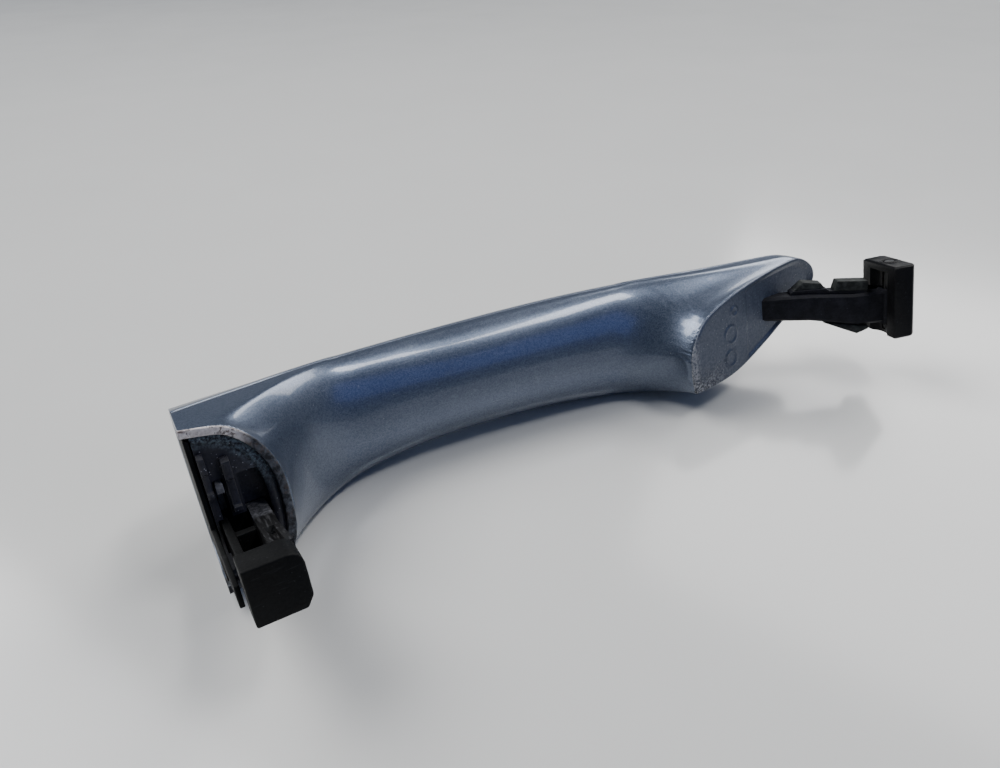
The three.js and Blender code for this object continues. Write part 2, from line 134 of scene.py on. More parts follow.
def middle(x):
    """Halfway between the strap's top and bottom edges."""
    return (top_edge(x) + bottom_edge(x)) / 2


def half_height(x):
    """Half the strap's height, closing to nothing at the tip of the nose."""
    return (top_edge(x) - bottom_edge(x)) / 2 * nose_scale(x)


def pad_plane(x):
    """Height of the front pad's sloping plane."""
    return (x - FRONT_PAD["x"]) * FRONT_PAD["slope"]


# Left and upper edge of the front pad [along, z]; the other sides are the strap's own.
FRONT_EDGE = np.array([
    (3, -34), (1.2, -22), (-1.6, -15), (-2.3, -8), (-1, -1.6), (4.5, 5.2), (14, 8.8), (26, 11.2),
    (40, 12.8), (54, 12.8), (68, 11.6),
], float)


def smooth_line(points, steps):
    """Catmull-Rom curve through the points, sampled evenly in its parameter."""
    padded = np.vstack([points[:1], points, points[-1:]])
    s = np.linspace(0, len(points) - 1, steps)
    i = np.minimum(s.astype(int), len(points) - 2)
    t = (s - i)[:, None]
    p0, p1, p2, p3 = (padded[i + k] for k in range(4))
    return 0.5 * (2 * p1 + (p2 - p0) * t + (2 * p0 - 5 * p1 + 4 * p2 - p3) * t**2
                  + (3 * p1 - p0 - 3 * p2 + p3) * t**3)


front_edge_line = smooth_line(FRONT_EDGE, 44)


def distance_to_front_edge(x, z):
    """Signed distance in plan to the front pad's left and upper edge: positive outside the pad."""
    px, pz = x - FRONT_PAD["x"], z
    best = np.full(np.broadcast(px, pz).shape, 1e9)
    sign = np.ones_like(best)
    for a, b in zip(front_edge_line[:-1], front_edge_line[1:]):
        d = b - a
        t = np.clip(((px - a[0]) * d[0] + (pz - a[1]) * d[1]) / (d @ d), 0, 1)
        dx, dz = px - a[0] - t * d[0], pz - a[1] - t * d[1]
        dist = np.hypot(dx, dz)
        closer = dist < best
        side = np.where(d[0] * dz - d[1] * dx > 0, 1.0, -1.0)
        best = np.where(closer, dist, best)
        sign = np.where(closer, side, sign)
    return best * sign


def distance_to_rear_edge(x, z):
    """Signed distance in plan to the rear pad's half ellipse, squarer below its middle."""
    dz = np.abs(z - REAR_PAD["z"]) / REAR_PAD["half"]
    fullness = np.where(z < REAR_PAD["z"], REAR_PAD["fullness_below"], REAR_PAD["fullness_above"])
    k = (np.clip(x, 0, None) / REAR_PAD["depth"]) ** fullness + dz**fullness
    return (k ** (1 / fullness) - 1) * REAR_PAD["depth"]


def smooth_min(a, b, k):
    """Smaller of two distances, rounded over a width k where they meet."""
    h = np.clip(0.5 + 0.5 * (b - a) / k, 0, 1)
    return b * (1 - h) + a * h - k * h * (1 - h)


def smooth_max(a, b, k):
    """Larger of two distances, rounded the same way."""
    return -smooth_min(-a, -b, k)


def grip_height(x, z):
    """Height of the grip's inner face: a rounded section between the grip face and widest line."""
    across = np.clip(np.abs(z - middle(x)) / np.maximum(half_height(x), 0.5), 0, 1)
    depth = (widest_line(x) - grip_face(x)) * nose_scale(x)
    power = np.where(z > middle(x), UPPER_POWER, LOWER_POWER)
    return widest_line(x) - depth * (1 - across**power) ** (1 / power)


# ------------------------------------------------------------------ mesh helpers

MERGE = 2e-6
FLAT_ANGLE = math.radians(1.5)
EDGE_ANGLE = math.radians(32)


def new_object(name, mesh, material, body=HANDLE, replaces=()):
    """Puts a mesh in the scene with its finish and its body, and hides the nodes it stands for."""
    piece = bpy.data.objects.new(name, mesh)
    bpy.context.scene.collection.objects.link(piece)
    mesh.materials.clear()
    mesh.materials.append(material)
    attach(piece, body)
    if replaces:
        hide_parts(*replaces)
    return piece


def grid_faces(rows, columns, wrap=False):
    """Quads of a grid of points; wrap joins the last column to the first."""
    i = np.arange(rows - 1)[:, None]
    j = np.arange(columns if wrap else columns - 1)[None, :]
    k = (j + 1) % columns
    a, b = i * columns + j, i * columns + k
    return np.stack([a, b, b + columns, a + columns], axis=-1).reshape(-1, 4)


def grid_mesh(name, points, wrap=False):
    """A mesh from an array of handle-frame points (rows, columns, 3), kept above the table."""
    rows, columns = points.shape[:2]
    faces = grid_faces(rows, columns, wrap)
    mesh = bpy.data.meshes.new(name)
    places = to_row(points.reshape(-1, 3))
    places[:, 2] = np.maximum(places[:, 2], 0)
    mesh.from_pydata(places, [], faces)
    mesh.polygons.foreach_set("use_smooth", np.ones(len(mesh.polygons), bool))
    return mesh


def with_bmesh(mesh, work):
    """Runs work on a bmesh of the mesh and writes it back."""
    bm = bmesh.new()
    bm.from_mesh(mesh)
    work(bm)
    bm.to_mesh(mesh)
    bm.free()
    mesh.update()


def cut_plane(bm, point, normal, keep=lambda co: True):
    """Cuts away what lies on the normal's side of a plane, among the faces that keep picks."""
    origin = Vector(to_row([point])[0])
    direction = Vector(TURN @ np.array(normal, float))
    faces = [f for f in bm.faces if keep(f.calc_center_median())]
    edges = {e for f in faces for e in f.edges}
    verts = {v for f in faces for v in f.verts}
    bmesh.ops.bisect_plane(bm, geom=list(verts) + list(edges) + faces, dist=1e-7,
                           plane_co=origin, plane_no=direction, clear_outer=True)


def join_and_face_out(bm):
    """Merges doubled points and turns every face outwards."""
    bmesh.ops.remove_doubles(bm, verts=bm.verts, dist=MERGE)
    bmesh.ops.recalc_face_normals(bm, faces=bm.faces)


def solidify(piece, thickness, offset=-1.0):
    """Gives a skin its wall: inwards from the skin, or either side of it at offset 0."""
    wall = piece.modifiers.new("wall", "SOLIDIFY")
    wall.thickness = thickness * MM
    wall.offset = offset


def round_edges(piece, radius):
    """Rounds every edge sharper than the limit angle to a small radius."""
    bevel = piece.modifiers.new("rounded edges", "BEVEL")
    bevel.width = radius * MM
    bevel.segments = 3
    bevel.limit_method = "ANGLE"
    bevel.angle_limit = EDGE_ANGLE
    bevel.harden_normals = True


# ------------------------------------------------------------------ camera


CAMERA = {
    "lens": 28.08,
    "place": (-3.26, -169.09, 75.29),
    "right": (0.86814, -0.46983, -0.15999),
    "up": (0.29614, 0.23166, 0.92662),
    "back": (-0.39829, -0.85182, 0.34025),
}


def add_camera():
    """Looks down over the rear end at the pads, the grip running away to the right."""
    data = bpy.data.cameras.new("camera")
    data.lens = CAMERA["lens"]
    data.clip_start = 0.01
    camera = bpy.data.objects.new("camera", data)
    right, up, back = (TURN @ np.array(CAMERA[axis]) for axis in ("right", "up", "back"))
    place = to_row([CAMERA["place"]])[0]
    camera.matrix_world = Matrix([
        [right[0], up[0], back[0], place[0]],
        [right[1], up[1], back[1], place[1]],
        [right[2], up[2], back[2], place[2]],
        [0, 0, 0, 1],
    ])
    bpy.context.scene.collection.objects.link(camera)
    bpy.context.scene.camera = camera


add_camera()

# ------------------------------------------------------------------ shader maths


class Wire:
    """A shader socket that takes part in arithmetic: every operator adds its Math node."""

    def __init__(self, tree, socket):
        self.tree = tree
        self.socket = socket

    def math(self, operation, *others, clamp=False):
        node = self.tree.nodes.new("ShaderNodeMath")
        node.operation = operation
        node.use_clamp = clamp
        for i, value in enumerate((self,) + others):
            if isinstance(value, Wire):
                self.tree.links.new(value.socket, node.inputs[i])
            else:
                node.inputs[i].default_value = value
        return Wire(self.tree, node.outputs[0])

    def __add__(self, other):
        return self.math("ADD", other)

    __radd__ = __add__

    def __mul__(self, other):
        return self.math("MULTIPLY", other)

    __rmul__ = __mul__

    def __sub__(self, other):
        return self.math("SUBTRACT", other)

    def __rsub__(self, other):
        return self.math("MULTIPLY_ADD", -1.0, other)

    def __truediv__(self, other):
        return self.math("DIVIDE", other)

    def size(self):
        return self.math("ABSOLUTE")

    def raised(self, power):
        return self.math("POWER", power)

    def most(self, other):
        return self.math("MAXIMUM", other)

    def clip(self):
        return self.math("ADD", 0.0, clamp=True)

    def rise(self, low, high):
        """0 below low, 1 above high and a straight ramp between; low may be the larger."""
        return ((self - low) / (high - low)).clip()


class Finish:
    """One material: its nodes, its place in handle millimetres and its shader."""

    def __init__(self, name, **constants):
        self.material = bpy.data.materials.new(name)
        self.material.use_nodes = True
        self.tree = self.material.node_tree
        self.shader = self.tree.nodes["Principled BSDF"]
        for socket, value in constants.items():
            self.shader.inputs[socket.replace("_", " ")].default_value = value
        place = self.node("ShaderNodeTexCoord").outputs["Object"]
        moved = self.vector("SUBTRACT", place, tuple(ORIGIN))
        self.millimetres = self.vector("SCALE", moved, scale=1000.0)
        axes = [self.vector("DOT_PRODUCT", self.millimetres, tuple(TURN[:, i])) for i in range(3)]
        self.x, self.y, self.z = (Wire(self.tree, axis) for axis in axes)

    def node(self, kind, settings=None, sockets=None):
        """A node of the given type: its settings first, then its sockets' values or links."""
        node = self.tree.nodes.new(kind)
        for key, value in (settings or {}).items():
            setattr(node, key, value)
        for key, value in (sockets or {}).items():
            self.plug(node.inputs[key], value)
        return node

    def plug(self, socket, value):
        """Links a wire or a socket, or sets a plain value."""
        if isinstance(value, Wire):
            self.tree.links.new(value.socket, socket)
        elif isinstance(value, bpy.types.NodeSocket):
            self.tree.links.new(value, socket)
        else:
            socket.default_value = value

    def vector(self, operation, a, b=None, scale=None):
        """A Vector Math node's result."""
        node = self.node("ShaderNodeVectorMath", {"operation": operation})
        self.plug(node.inputs[0], a)
        if b is not None:
            self.plug(node.inputs[1], b)
        if scale is not None:
            node.inputs["Scale"].default_value = scale
        return node.outputs["Value" if operation == "DOT_PRODUCT" else "Vector"]

    def stretched(self, along, deep, across):
        """Handle millimetres divided by a grain size for each axis."""
        node = self.node("ShaderNodeCombineXYZ", {}, {
            "X": self.x / along, "Y": self.y / deep, "Z": self.z / across})
        return node.outputs[0]

    def noise(self, grain, detail=3.0, roughness=0.55, at=None):
        """Cloudy noise around 0.5 whose blobs are about grain millimetres across."""
        node = self.node("ShaderNodeTexNoise", {}, {
            "Vector": at or self.millimetres, "Scale": 1.0 / grain, "Detail": detail,
            "Roughness": roughness})
        return Wire(self.tree, node.outputs["Fac"])

    def cells(self, grain, output="Distance"):
        """Voronoi cells grain millimetres wide: distance to the middle, or the cell's own value."""
        node = self.node("ShaderNodeTexVoronoi", {}, {
            "Vector": self.millimetres, "Scale": 1.0 / grain})
        if output == "Distance":
            return Wire(self.tree, node.outputs["Distance"])
        parts = self.node("ShaderNodeSeparateColor", {}, {"Color": node.outputs["Color"]})
        return Wire(self.tree, parts.outputs["Red"])

    def specks(self, grain, size, share):
        """Small round grains: a share of the cells holds one dot each of the given size."""
        dot = self.cells(grain).rise(size, size * 0.5)
        return dot * self.cells(grain, "Value").rise(1.0 - share, 1.0 - share + 0.02)

    def mix(self, factor, a, b):
        """Colour a where the factor is 0 and colour b where it is 1."""
        node = self.node("ShaderNodeMix", {"data_type": "RGBA"})
        self.plug(node.inputs["Factor"], factor)
        self.plug(node.inputs[6], a if not isinstance(a, tuple) else a + (1.0,))
        self.plug(node.inputs[7], b if not isinstance(b, tuple) else b + (1.0,))
        return node.outputs[2]

    def bump(self, height, distance, below=None):
        """Relief of the given depth in millimetres, laid over the normal below."""
        sockets = {"Height": height, "Distance": distance * MM}
        if below is not None:
            sockets["Normal"] = below
        return self.node("ShaderNodeBump", {}, sockets).outputs["Normal"]

    def done(self, **sockets):
        """Plugs what varies into the shader and gives the material."""
        for name, value in sockets.items():
            self.plug(self.shader.inputs[name.replace("_", " ")], value)
        return self.material


# ------------------------------------------------------------------ finishes


def silver_blue_paint():
    """Metallic silver-blue: fine flake, faint orange peel, dust, and hair scratches on the grip."""
    f = Finish("silver_blue_paint", Coat_Roughness=0.06, Coat_IOR=1.5)
    flake = f.cells(0.3, "Value")
    cloud = f.noise(30.0, 2.0)
    drift = f.noise(5.0, 4.0, 0.6)
    dust = (f.specks(2.2, 0.10, 0.25) * 0.8 + drift.rise(0.62, 0.8) * 0.15).clip()
    hair = f.noise(1.0, 1.0, 0.5, f.stretched(30.0, 4.0, 0.22)).rise(0.70, 0.74)
    rub = f.noise(1.0, 3.0, 0.6, f.stretched(5.0, 5.0, 1.2)).rise(0.60, 0.78)
    grip = f.x.rise(34.0, 60.0) * f.x.rise(136.0, 118.0)
    scuff = (hair * 0.5 + rub * 0.35).clip() * grip
    tone = flake * 0.35 + cloud * 0.45
    base = f.mix(tone.rise(0.1, 0.75), (0.066, 0.089, 0.138), (0.175, 0.204, 0.262))
    base = f.mix(dust * 0.5, base, (0.40, 0.41, 0.42))
    base = f.mix(scuff * 0.30, base, (0.55, 0.58, 0.62))
    rough = 0.27 + 0.05 * cloud + 0.05 * flake + 0.25 * dust + 0.12 * scuff
    peel = f.bump(f.noise(1.3, 1.0), 0.012)
    normal = f.bump(flake, 0.013, peel)
    return f.done(Base_Color=base, Metallic=(0.75 - 0.5 * dust).clip(), Roughness=rough,
                  Coat_Weight=(0.55 - 0.4 * dust).clip(), Normal=normal)


def worn_rim_paint():
    """The rear rim: pale worn paint and primer, brown chips at the top, grey round the end."""
    f = Finish("worn_rim_paint")
    fine = f.noise(1.3, 5.0, 0.7)
    broad = f.noise(5.0, 3.0, 0.6)
    top = f.z.rise(2.0, 15.0) * f.x.rise(15.0, 8.0)
    chips = f.noise(2.2, 4.0, 0.7).rise(0.54, 0.58) * (0.35 + 0.65 * top)
    chips = (chips * broad.rise(0.38, 0.5)).clip()
    rusty = f.cells(0.8, "Value")
    chip_colour = f.mix(rusty, (0.035, 0.022, 0.018), (0.12, 0.075, 0.055))
    pale = f.mix(fine.rise(0.35, 0.7), (0.50, 0.45, 0.45), (0.88, 0.83, 0.81))
    grey = f.mix(fine.rise(0.42, 0.66), (0.012, 0.013, 0.017), (0.12, 0.13, 0.15))
    base = f.mix(top.rise(0.1, 0.6), grey, pale)
    base = f.mix(chips, base, chip_colour)
    base = f.mix(f.specks(0.9, 0.24, 0.4), base, (0.05, 0.05, 0.055))
    normal = f.bump(fine - chips * 1.5, 0.12)
    return f.done(Base_Color=base, Roughness=0.42 + 0.35 * fine,
                  Metallic=(0.35 - 0.35 * chips).clip(), Normal=normal)


def pad_paint():
    """The front pad: blue-grey satin with fine speckle, a pale painted highlight along the left
    edge, and a pale worn lower corner.
    """
    f = Finish("pad_paint", Coat_Roughness=0.2)
    fine = f.noise(0.7, 4.0, 0.7)
    broad = f.noise(6.0, 4.0, 0.6)
    corner = f.z.rise(-7.0, -15.0) * f.x.rise(156.0, 144.0)
    # A pale painted highlight along the pad's left edge, not wear.
    left = f.x.rise(141.6, 139.2)
    # worn holds the real wear of the lower corner together with the painted highlight of the left
    # edge.
    worn = (corner * broad.rise(0.40, 0.62) + left * 0.8).clip()
    base = f.mix(fine.rise(0.3, 0.7), (0.046, 0.059, 0.090), (0.104, 0.124, 0.168))
    # Goes pale where the lower corner is worn and where the left edge carries its painted
    # highlight.
    base = f.mix(worn * fine.rise(0.40, 0.58), base, (0.36, 0.36, 0.37))
    base = f.mix(corner * fine.rise(0.56, 0.46) * 0.8, base, (0.02, 0.02, 0.022))
    base = f.mix(f.specks(0.9, 0.2, 0.35) * (0.35 + 0.65 * corner), base, (0.62, 0.62, 0.63))
    normal = f.bump(fine, 0.05)
    return f.done(Base_Color=base, Metallic=(0.45 - 0.4 * worn).clip(),
                  Roughness=0.36 + 0.3 * worn + 0.1 * broad, Coat_Weight=(0.3 - 0.3 * worn).clip(),
                  Normal=normal)


def dusty_plastic(name, dark, dust_colour, amount, grain, gloss, specks=0.3):
    """Moulded plastic with fine spark texture under drifts and specks of dust."""
    f = Finish(name, Specular_IOR_Level=0.13)
    drift = f.noise(grain, 5.0, 0.65)
    fine = f.noise(0.5, 3.0, 0.6)
    dust = (drift.rise(0.42, 0.68) * amount + f.specks(1.1, 0.17, specks) * 0.7).clip()
    scuff = f.noise(1.0, 2.0, 0.5, f.stretched(5.0, 6.0, 0.35)).rise(0.66, 0.72)
    base = f.mix(fine.rise(0.3, 0.7), dark, tuple(1.5 * c + 0.003 for c in dark))
    base = f.mix(dust, base, dust_colour)
    base = f.mix(scuff * 0.3, base, dust_colour)
    normal = f.bump(fine + drift * 0.6, 0.05)
    rough = (gloss + 0.3 * dust + 0.1 * drift).clip()
    return f.done(Base_Color=base, Roughness=rough, Normal=normal)


def cheek_plastic():
    """The hook's right arm: grey speckled on the end near the pad, black and scuffed below it."""
    f = Finish("cheek_plastic", Specular_IOR_Level=0.4)
    fine = f.noise(0.7, 5.0, 0.7)
    patch = f.y.rise(-3.6, -2.2)
    edge = f.noise(1.0, 2.0, 0.5, f.stretched(0.5, 8.0, 0.5)).rise(0.56, 0.66)
    base = f.mix(fine.rise(0.42, 0.64), (0.035, 0.036, 0.042), (0.19, 0.19, 0.205))
    dark = f.mix(edge * 0.6, (0.003, 0.003, 0.0036), (0.06, 0.06, 0.064))
    base = f.mix(patch, dark, base)
    return f.done(Base_Color=base, Roughness=0.42 + 0.2 * fine, Normal=f.bump(fine, 0.08))


def blackened_steel():
    """The pin: steel with a worn black finish."""
    f = Finish("blackened_steel")
    worn = f.noise(1.2, 4.0, 0.6).rise(0.5, 0.7)
    base = f.mix(worn, (0.012, 0.012, 0.013), (0.09, 0.09, 0.092))
    return f.done(Base_Color=base, Metallic=0.8, Roughness=0.45 - 0.15 * worn,
                  Normal=f.bump(worn, 0.02))


def recess_plastic():
    """The rear carrier: grey-violet satin, a pale teal deposit along the upper edge."""
    f = Finish("recess_plastic", Specular_IOR_Level=0.5)
    fine = f.noise(0.6, 4.0, 0.65)
    drift = f.noise(3.0, 5.0, 0.65)
    across = ((f.z - REAR_PAD["z"]) / REAR_PAD["half"]).size()
    along = (f.x / REAR_PAD["depth"]).most(0.0)
    fullness = 2.2
    ring = (across.raised(fullness) + along.raised(fullness)).raised(1 / fullness)
    deposit = (ring + (drift - 0.5) * 0.14).rise(0.70, 0.80) * f.z.rise(0.0, 9.0)
    base = f.mix(fine.rise(0.3, 0.7), (0.010, 0.010, 0.015), (0.026, 0.025, 0.034))
    base = f.mix(drift.rise(0.5, 0.75) * 0.4, base, (0.06, 0.058, 0.068))
    base = f.mix(deposit * fine.rise(0.40, 0.62) * 0.9, base, (0.17, 0.225, 0.26))
    base = f.mix(f.specks(0.8, 0.2, 0.4), base, (0.30, 0.30, 0.32))
    normal = f.bump(fine + deposit * drift, 0.08)
    rough = (0.38 + 0.35 * deposit + 0.15 * drift).clip()
    return f.done(Base_Color=base, Roughness=rough, Normal=normal)


def seal_rubber():
    """Thin black seal: matt rubber with dust along it."""
    f = Finish("seal_rubber", Specular_IOR_Level=0.3)
    fine = f.noise(0.6, 3.0)
    base = f.mix(fine.rise(0.45, 0.8), (0.006, 0.006, 0.007), (0.03, 0.03, 0.032))
    return f.done(Base_Color=base, Roughness=0.7 + 0.2 * fine, Normal=f.bump(fine, 0.04))


def zinc_steel():
    """Plated steel: fine turned grain and duller blotches."""
    f = Finish("zinc_steel")
    grain = f.noise(1.0, 2.0, 0.5, f.stretched(4.0, 4.0, 0.12))
    blotch = f.noise(2.0, 3.0)
    base = f.mix(blotch.rise(0.35, 0.7), (0.45, 0.45, 0.46), (0.30, 0.29, 0.28))
    return f.done(Base_Color=base, Metallic=1.0, Roughness=0.25 + 0.3 * blotch,
                  Normal=f.bump(grain, 0.02))


def filled_plastic():
    """Glass-filled black plastic: short pale fibres in a matt ground."""
    f = Finish("filled_plastic")
    fibre = f.noise(1.0, 1.0, 0.5, f.stretched(1.4, 0.3, 0.3)).rise(0.62, 0.7)
    fine = f.noise(0.5, 2.0)
    base = f.mix(fibre * 0.4, (0.02, 0.02, 0.022), (0.11, 0.11, 0.11))
    return f.done(Base_Color=base, Roughness=0.55 + 0.2 * fine, Normal=f.bump(fine + fibre, 0.03))


paint = silver_blue_paint()
rim_paint = worn_rim_paint()
front_pad_paint = pad_paint()
recess = recess_plastic()
rubber = seal_rubber()
steel = zinc_steel()
pin_finish = blackened_steel()
filled = filled_plastic()
black = dusty_plastic(
    "black_plastic", (0.0016, 0.0017, 0.0018), (0.030, 0.031, 0.033), 0.06, grain=5.0, gloss=0.5)
arm_plastic = dusty_plastic(
    "arm_plastic", (0.005, 0.0052, 0.0075), (0.040, 0.040, 0.052), 0.25, grain=3.0, gloss=0.45)
head_plastic = dusty_plastic(
    "head_plastic", (0.002, 0.002, 0.0025), (0.030, 0.031, 0.035), 0.06, grain=4.0, gloss=0.36)
grey = dusty_plastic(
    "grey_plastic", (0.07, 0.07, 0.078), (0.26, 0.26, 0.28), 0.6, grain=1.6, gloss=0.4, specks=0.6)
ramp_plastic = dusty_plastic(
    "ramp_plastic", (0.010, 0.011, 0.011), (0.075, 0.082, 0.078), 0.6, grain=2.4, gloss=0.5,
    specks=0.4)
cheek = cheek_plastic()

# ------------------------------------------------------------------ painted shells


def strap_field(x, y, z):
    """Signed size of the painted strap, negative inside.

    A superellipse section between the outer face and the grip's face, joined softly to two feet
    whose outline grows by a quarter ellipse with height, all trimmed by the slightly leaning
    flanks. The feet run on past their pad planes, where the mesh is cut.
    """
    widest = widest_line(x)
    half = np.maximum(half_height(x), 1e-3)
    outward = y > widest
    full = np.where(outward, outer_face(x) - widest, widest - grip_face(x)) * nose_scale(x)
    power = np.where(outward, OUTER_POWER, np.where(z > middle(x), UPPER_POWER, LOWER_POWER))
    across, depth = np.abs(z - middle(x)) / half, np.abs(y - widest) / np.maximum(full, 1e-3)
    ring = (across**power + depth**power) ** (1 / power)
    body = (ring - 1) * np.minimum(half, np.maximum(full, 1e-3))
    lean = np.clip(widest - y, 0, None) * DRAFT * nose_scale(x)
    flank = np.abs(z - middle(x)) - (half - lean)
    base = pad_plane(x)
    top = grip_height(x, z)
    rear = distance_to_rear_edge(x, z) - foot_growth(y, REAR_PAD["flare"], top)
    front = distance_to_front_edge(x, z) - foot_growth(y - base, FRONT_PAD["flare"], top - base)
    rear = np.maximum(rear, y - widest)
    front = np.maximum(front, y - widest)
    field = smooth_min(smooth_min(body, rear, FOOT_BLEND), front, FOOT_BLEND)
    floor = np.where(x < GRIP_MIDDLE, 0.0, base) - FOOT_OVERRUN - y
    return np.maximum(smooth_max(field, flank, FLANK_BLEND), floor)


def foot_growth(height, flare, rise):
    """How far a foot's outline has grown at a height above its pad: a quarter ellipse."""
    t = np.clip(height / np.maximum(rise, 1.0), 0, 1)
    return flare * (1 - np.sqrt(1 - t * t))


def first_crossing(field, far, rows, columns):
    """Smallest radius at which the field turns positive: a march outwards, then halving steps."""
    marks = np.linspace(0, far, 48)
    low = np.zeros((rows, columns))
    high = np.full((rows, columns), far)
    found = np.zeros((rows, columns), bool)
    for near, mark in zip(marks[:-1], marks[1:]):
        outside = field(np.full((rows, columns), mark)) > 0
        fresh = outside & ~found
        low = np.where(fresh, near, low)
        high = np.where(fresh, mark, high)
        found |= outside
    for _ in range(16):
        centre = (low + high) / 2
        outside = field(centre) > 0
        high = np.where(outside, centre, high)
        low = np.where(outside, low, centre)
    return (low + high) / 2


STATIONS = np.unique(np.concatenate([
    np.linspace(-2, 42, 56), np.linspace(42, 118, 30), np.linspace(118, 134, 18),
    np.linspace(134, 150, 42), np.linspace(150, NOSE_START, 24),
    NOSE_START + 15 * np.sin(np.linspace(0, math.pi / 2, 20)),
]))


def half_shell(start, shift, columns):
    """Half of the strap's skin: a radius at each angle round the widest line, off the seam."""
    x = STATIONS[:, None]
    angle = np.linspace(start, start + math.pi, columns)[None, :]
    rows = len(STATIONS)
    centre_y, centre_z = widest_line(x) + shift, middle(x)
    x_all = np.broadcast_to(x, (rows, columns))

    def at(radius):
        return centre_y + radius * np.sin(angle), centre_z + radius * np.cos(angle)

    radius = first_crossing(lambda r: strap_field(x_all, *at(r)), SKIN_REACH, rows, columns)
    radius[-1] = 0
    return np.stack([x_all, *at(radius)], -1)


def shell_piece(name, points, node):
    """Cuts a half skin off at the end and at both pads and gives it its wall."""
    mesh = grid_mesh(name, points)

    def trim(bm):
        bmesh.ops.remove_doubles(bm, verts=bm.verts, dist=MERGE)
        middle_x = to_row([[GRIP_MIDDLE, 0, 0]])[0][0]
        cut_plane(bm, (SKIN_START, 0, 0), (-1, 0, 0))
        cut_plane(bm, (0, PAD_LIFT, 0), (0, -1, 0), lambda co: co.x < middle_x)
        cut_plane(bm, (FRONT_PAD["x"], PAD_LIFT, 0), (FRONT_PAD["slope"], -1, 0),
                  lambda co: co.x > middle_x)
        bmesh.ops.recalc_face_normals(bm, faces=bm.faces)

    with_bmesh(mesh, trim)
    piece = new_object(name, mesh, paint, replaces=(node,))
    solidify(piece, SKIN_WALL)


shell_piece("painted_outer_shell", half_shell(0.0, SEAM_HALF, 96), "outer_shell")
shell_piece("painted_grip_shell", half_shell(math.pi, -SEAM_HALF, 190), "grip_shell")

# ------------------------------------------------------------------ rims, pads and seal


def outline_in_plane(centre, angles, height, far):
    """Where the strap's skin meets a plane: radius from the centre at each angle, as [x, z]."""
    direction = np.stack([np.cos(angles), np.sin(angles)])[:, None, :]

    def field(radius):
        x = centre[0] + radius * direction[0]
        return strap_field(x, height(x), centre[1] + radius * direction[1])

    radius = first_crossing(field, far, 1, len(angles))[0]
    return np.stack([centre[0] + radius * np.cos(angles), centre[1] + radius * np.sin(angles)], -1)


def flat(x):
    """The rear pad's plane."""
    return 0 * x


def rear_outline():
    """The rear pad's half ellipse, from its bottom round to its top."""
    angles = np.linspace(-math.pi / 2, math.pi / 2, 141)
    path = outline_in_plane((0.0, REAR_PAD["z"]), angles, lambda x: flat(x) + OUTLINE_LIFT, 30.0)
    path[0, 0] = path[-1, 0] = 0.0
    return path


def inward_of(path, closed):
    """Unit vectors pointing to the left of the path's direction of travel, in the pad plane."""
    if closed:
        step = np.roll(path, -1, 0) - np.roll(path, 1, 0)
    else:
        step = np.gradient(path, axis=0)
    step /= np.maximum(np.linalg.norm(step, axis=1, keepdims=True), 1e-9)
    return np.stack([-step[:, 1], step[:, 0]], -1)


def carried_profile(path, base, profile, closed=False):
    """A profile of [inward, height] steps carried along an outline; base gives the plane at x."""
    inward = inward_of(path, closed)
    place = path[:, None, :] + inward[:, None, :] * profile[None, :, :1]
    height = base(path[:, 0])[:, None] + profile[None, :, 1]
    return np.stack([place[..., 0], height, place[..., 1]], -1)


def close_ends(bm):
    """Caps the two ends of a band."""
    edges = [e for e in bm.edges if e.is_boundary]
    bmesh.ops.holes_fill(bm, edges=edges, sides=0)
    bmesh.ops.recalc_face_normals(bm, faces=bm.faces)


def rear_rim():
    """The rear pad's painted rim: a rounded flat band carried round the half ellipse."""
    profile = np.array([
        (0, 0.7), (0, 0.36), (0.05, 0.2), (0.16, 0.07), (0.34, 0), (1.7, 0), (1.86, 0.05),
        (1.96, 0.16), (2.0, 0.34), (2.0, 4.6), (1.5, 4.6), (1.5, 0.9),
    ], float)
    band = carried_profile(rear_outline(), flat, profile)
    band[..., 0] = np.maximum(band[..., 0], 0)
    mesh = grid_mesh("rear_rim", band, wrap=True)
    with_bmesh(mesh, close_ends)
    new_object("rear_rim", mesh, rim_paint)


def recess_band():
    """Floor of the recess just inside the rim: a flat band carried round the same outline."""
    profile = np.array([(FLOOR_STEP, 1.3), (4.4, 1.34), (4.4, 2.1), (FLOOR_STEP, 2.1)], float)
    band = carried_profile(rear_outline(), flat, profile)
    band[..., 0] = np.maximum(band[..., 0], FLOOR_STEP)
    mesh = grid_mesh("recess_band", band, wrap=True)
    with_bmesh(mesh, close_ends)
    new_object("recess_band", mesh, recess)


PAD_CENTRE = (166.0, -1.5)
PAD_RINGS = 73
STEP_LINE = {"x": 163.4, "lean": 0.02, "rise": 0.45, "width": 0.4}
MOULD_MARKS = ((155.0, -9.6, 2.4), (155.4, -2.2, 2.6), (157.5, 4.6, 1.3))
MARK_DEPTH = 0.28
MARK_WIDTH = 0.34


def pad_relief(x, z):
    """Height of the pad's moulding: a shallow ramped step and three plain round mould marks."""
    step = x - (STEP_LINE["x"] + STEP_LINE["lean"] * z)
    relief = STEP_LINE["rise"] * np.clip(step / STEP_LINE["width"] + 0.5, 0, 1)
    for mark_x, mark_z, radius in MOULD_MARKS:
        ring = np.abs(np.hypot(x - mark_x, z - mark_z) - radius)
        relief = relief - MARK_DEPTH * np.exp(-((ring / MARK_WIDTH) ** 2))
    return relief


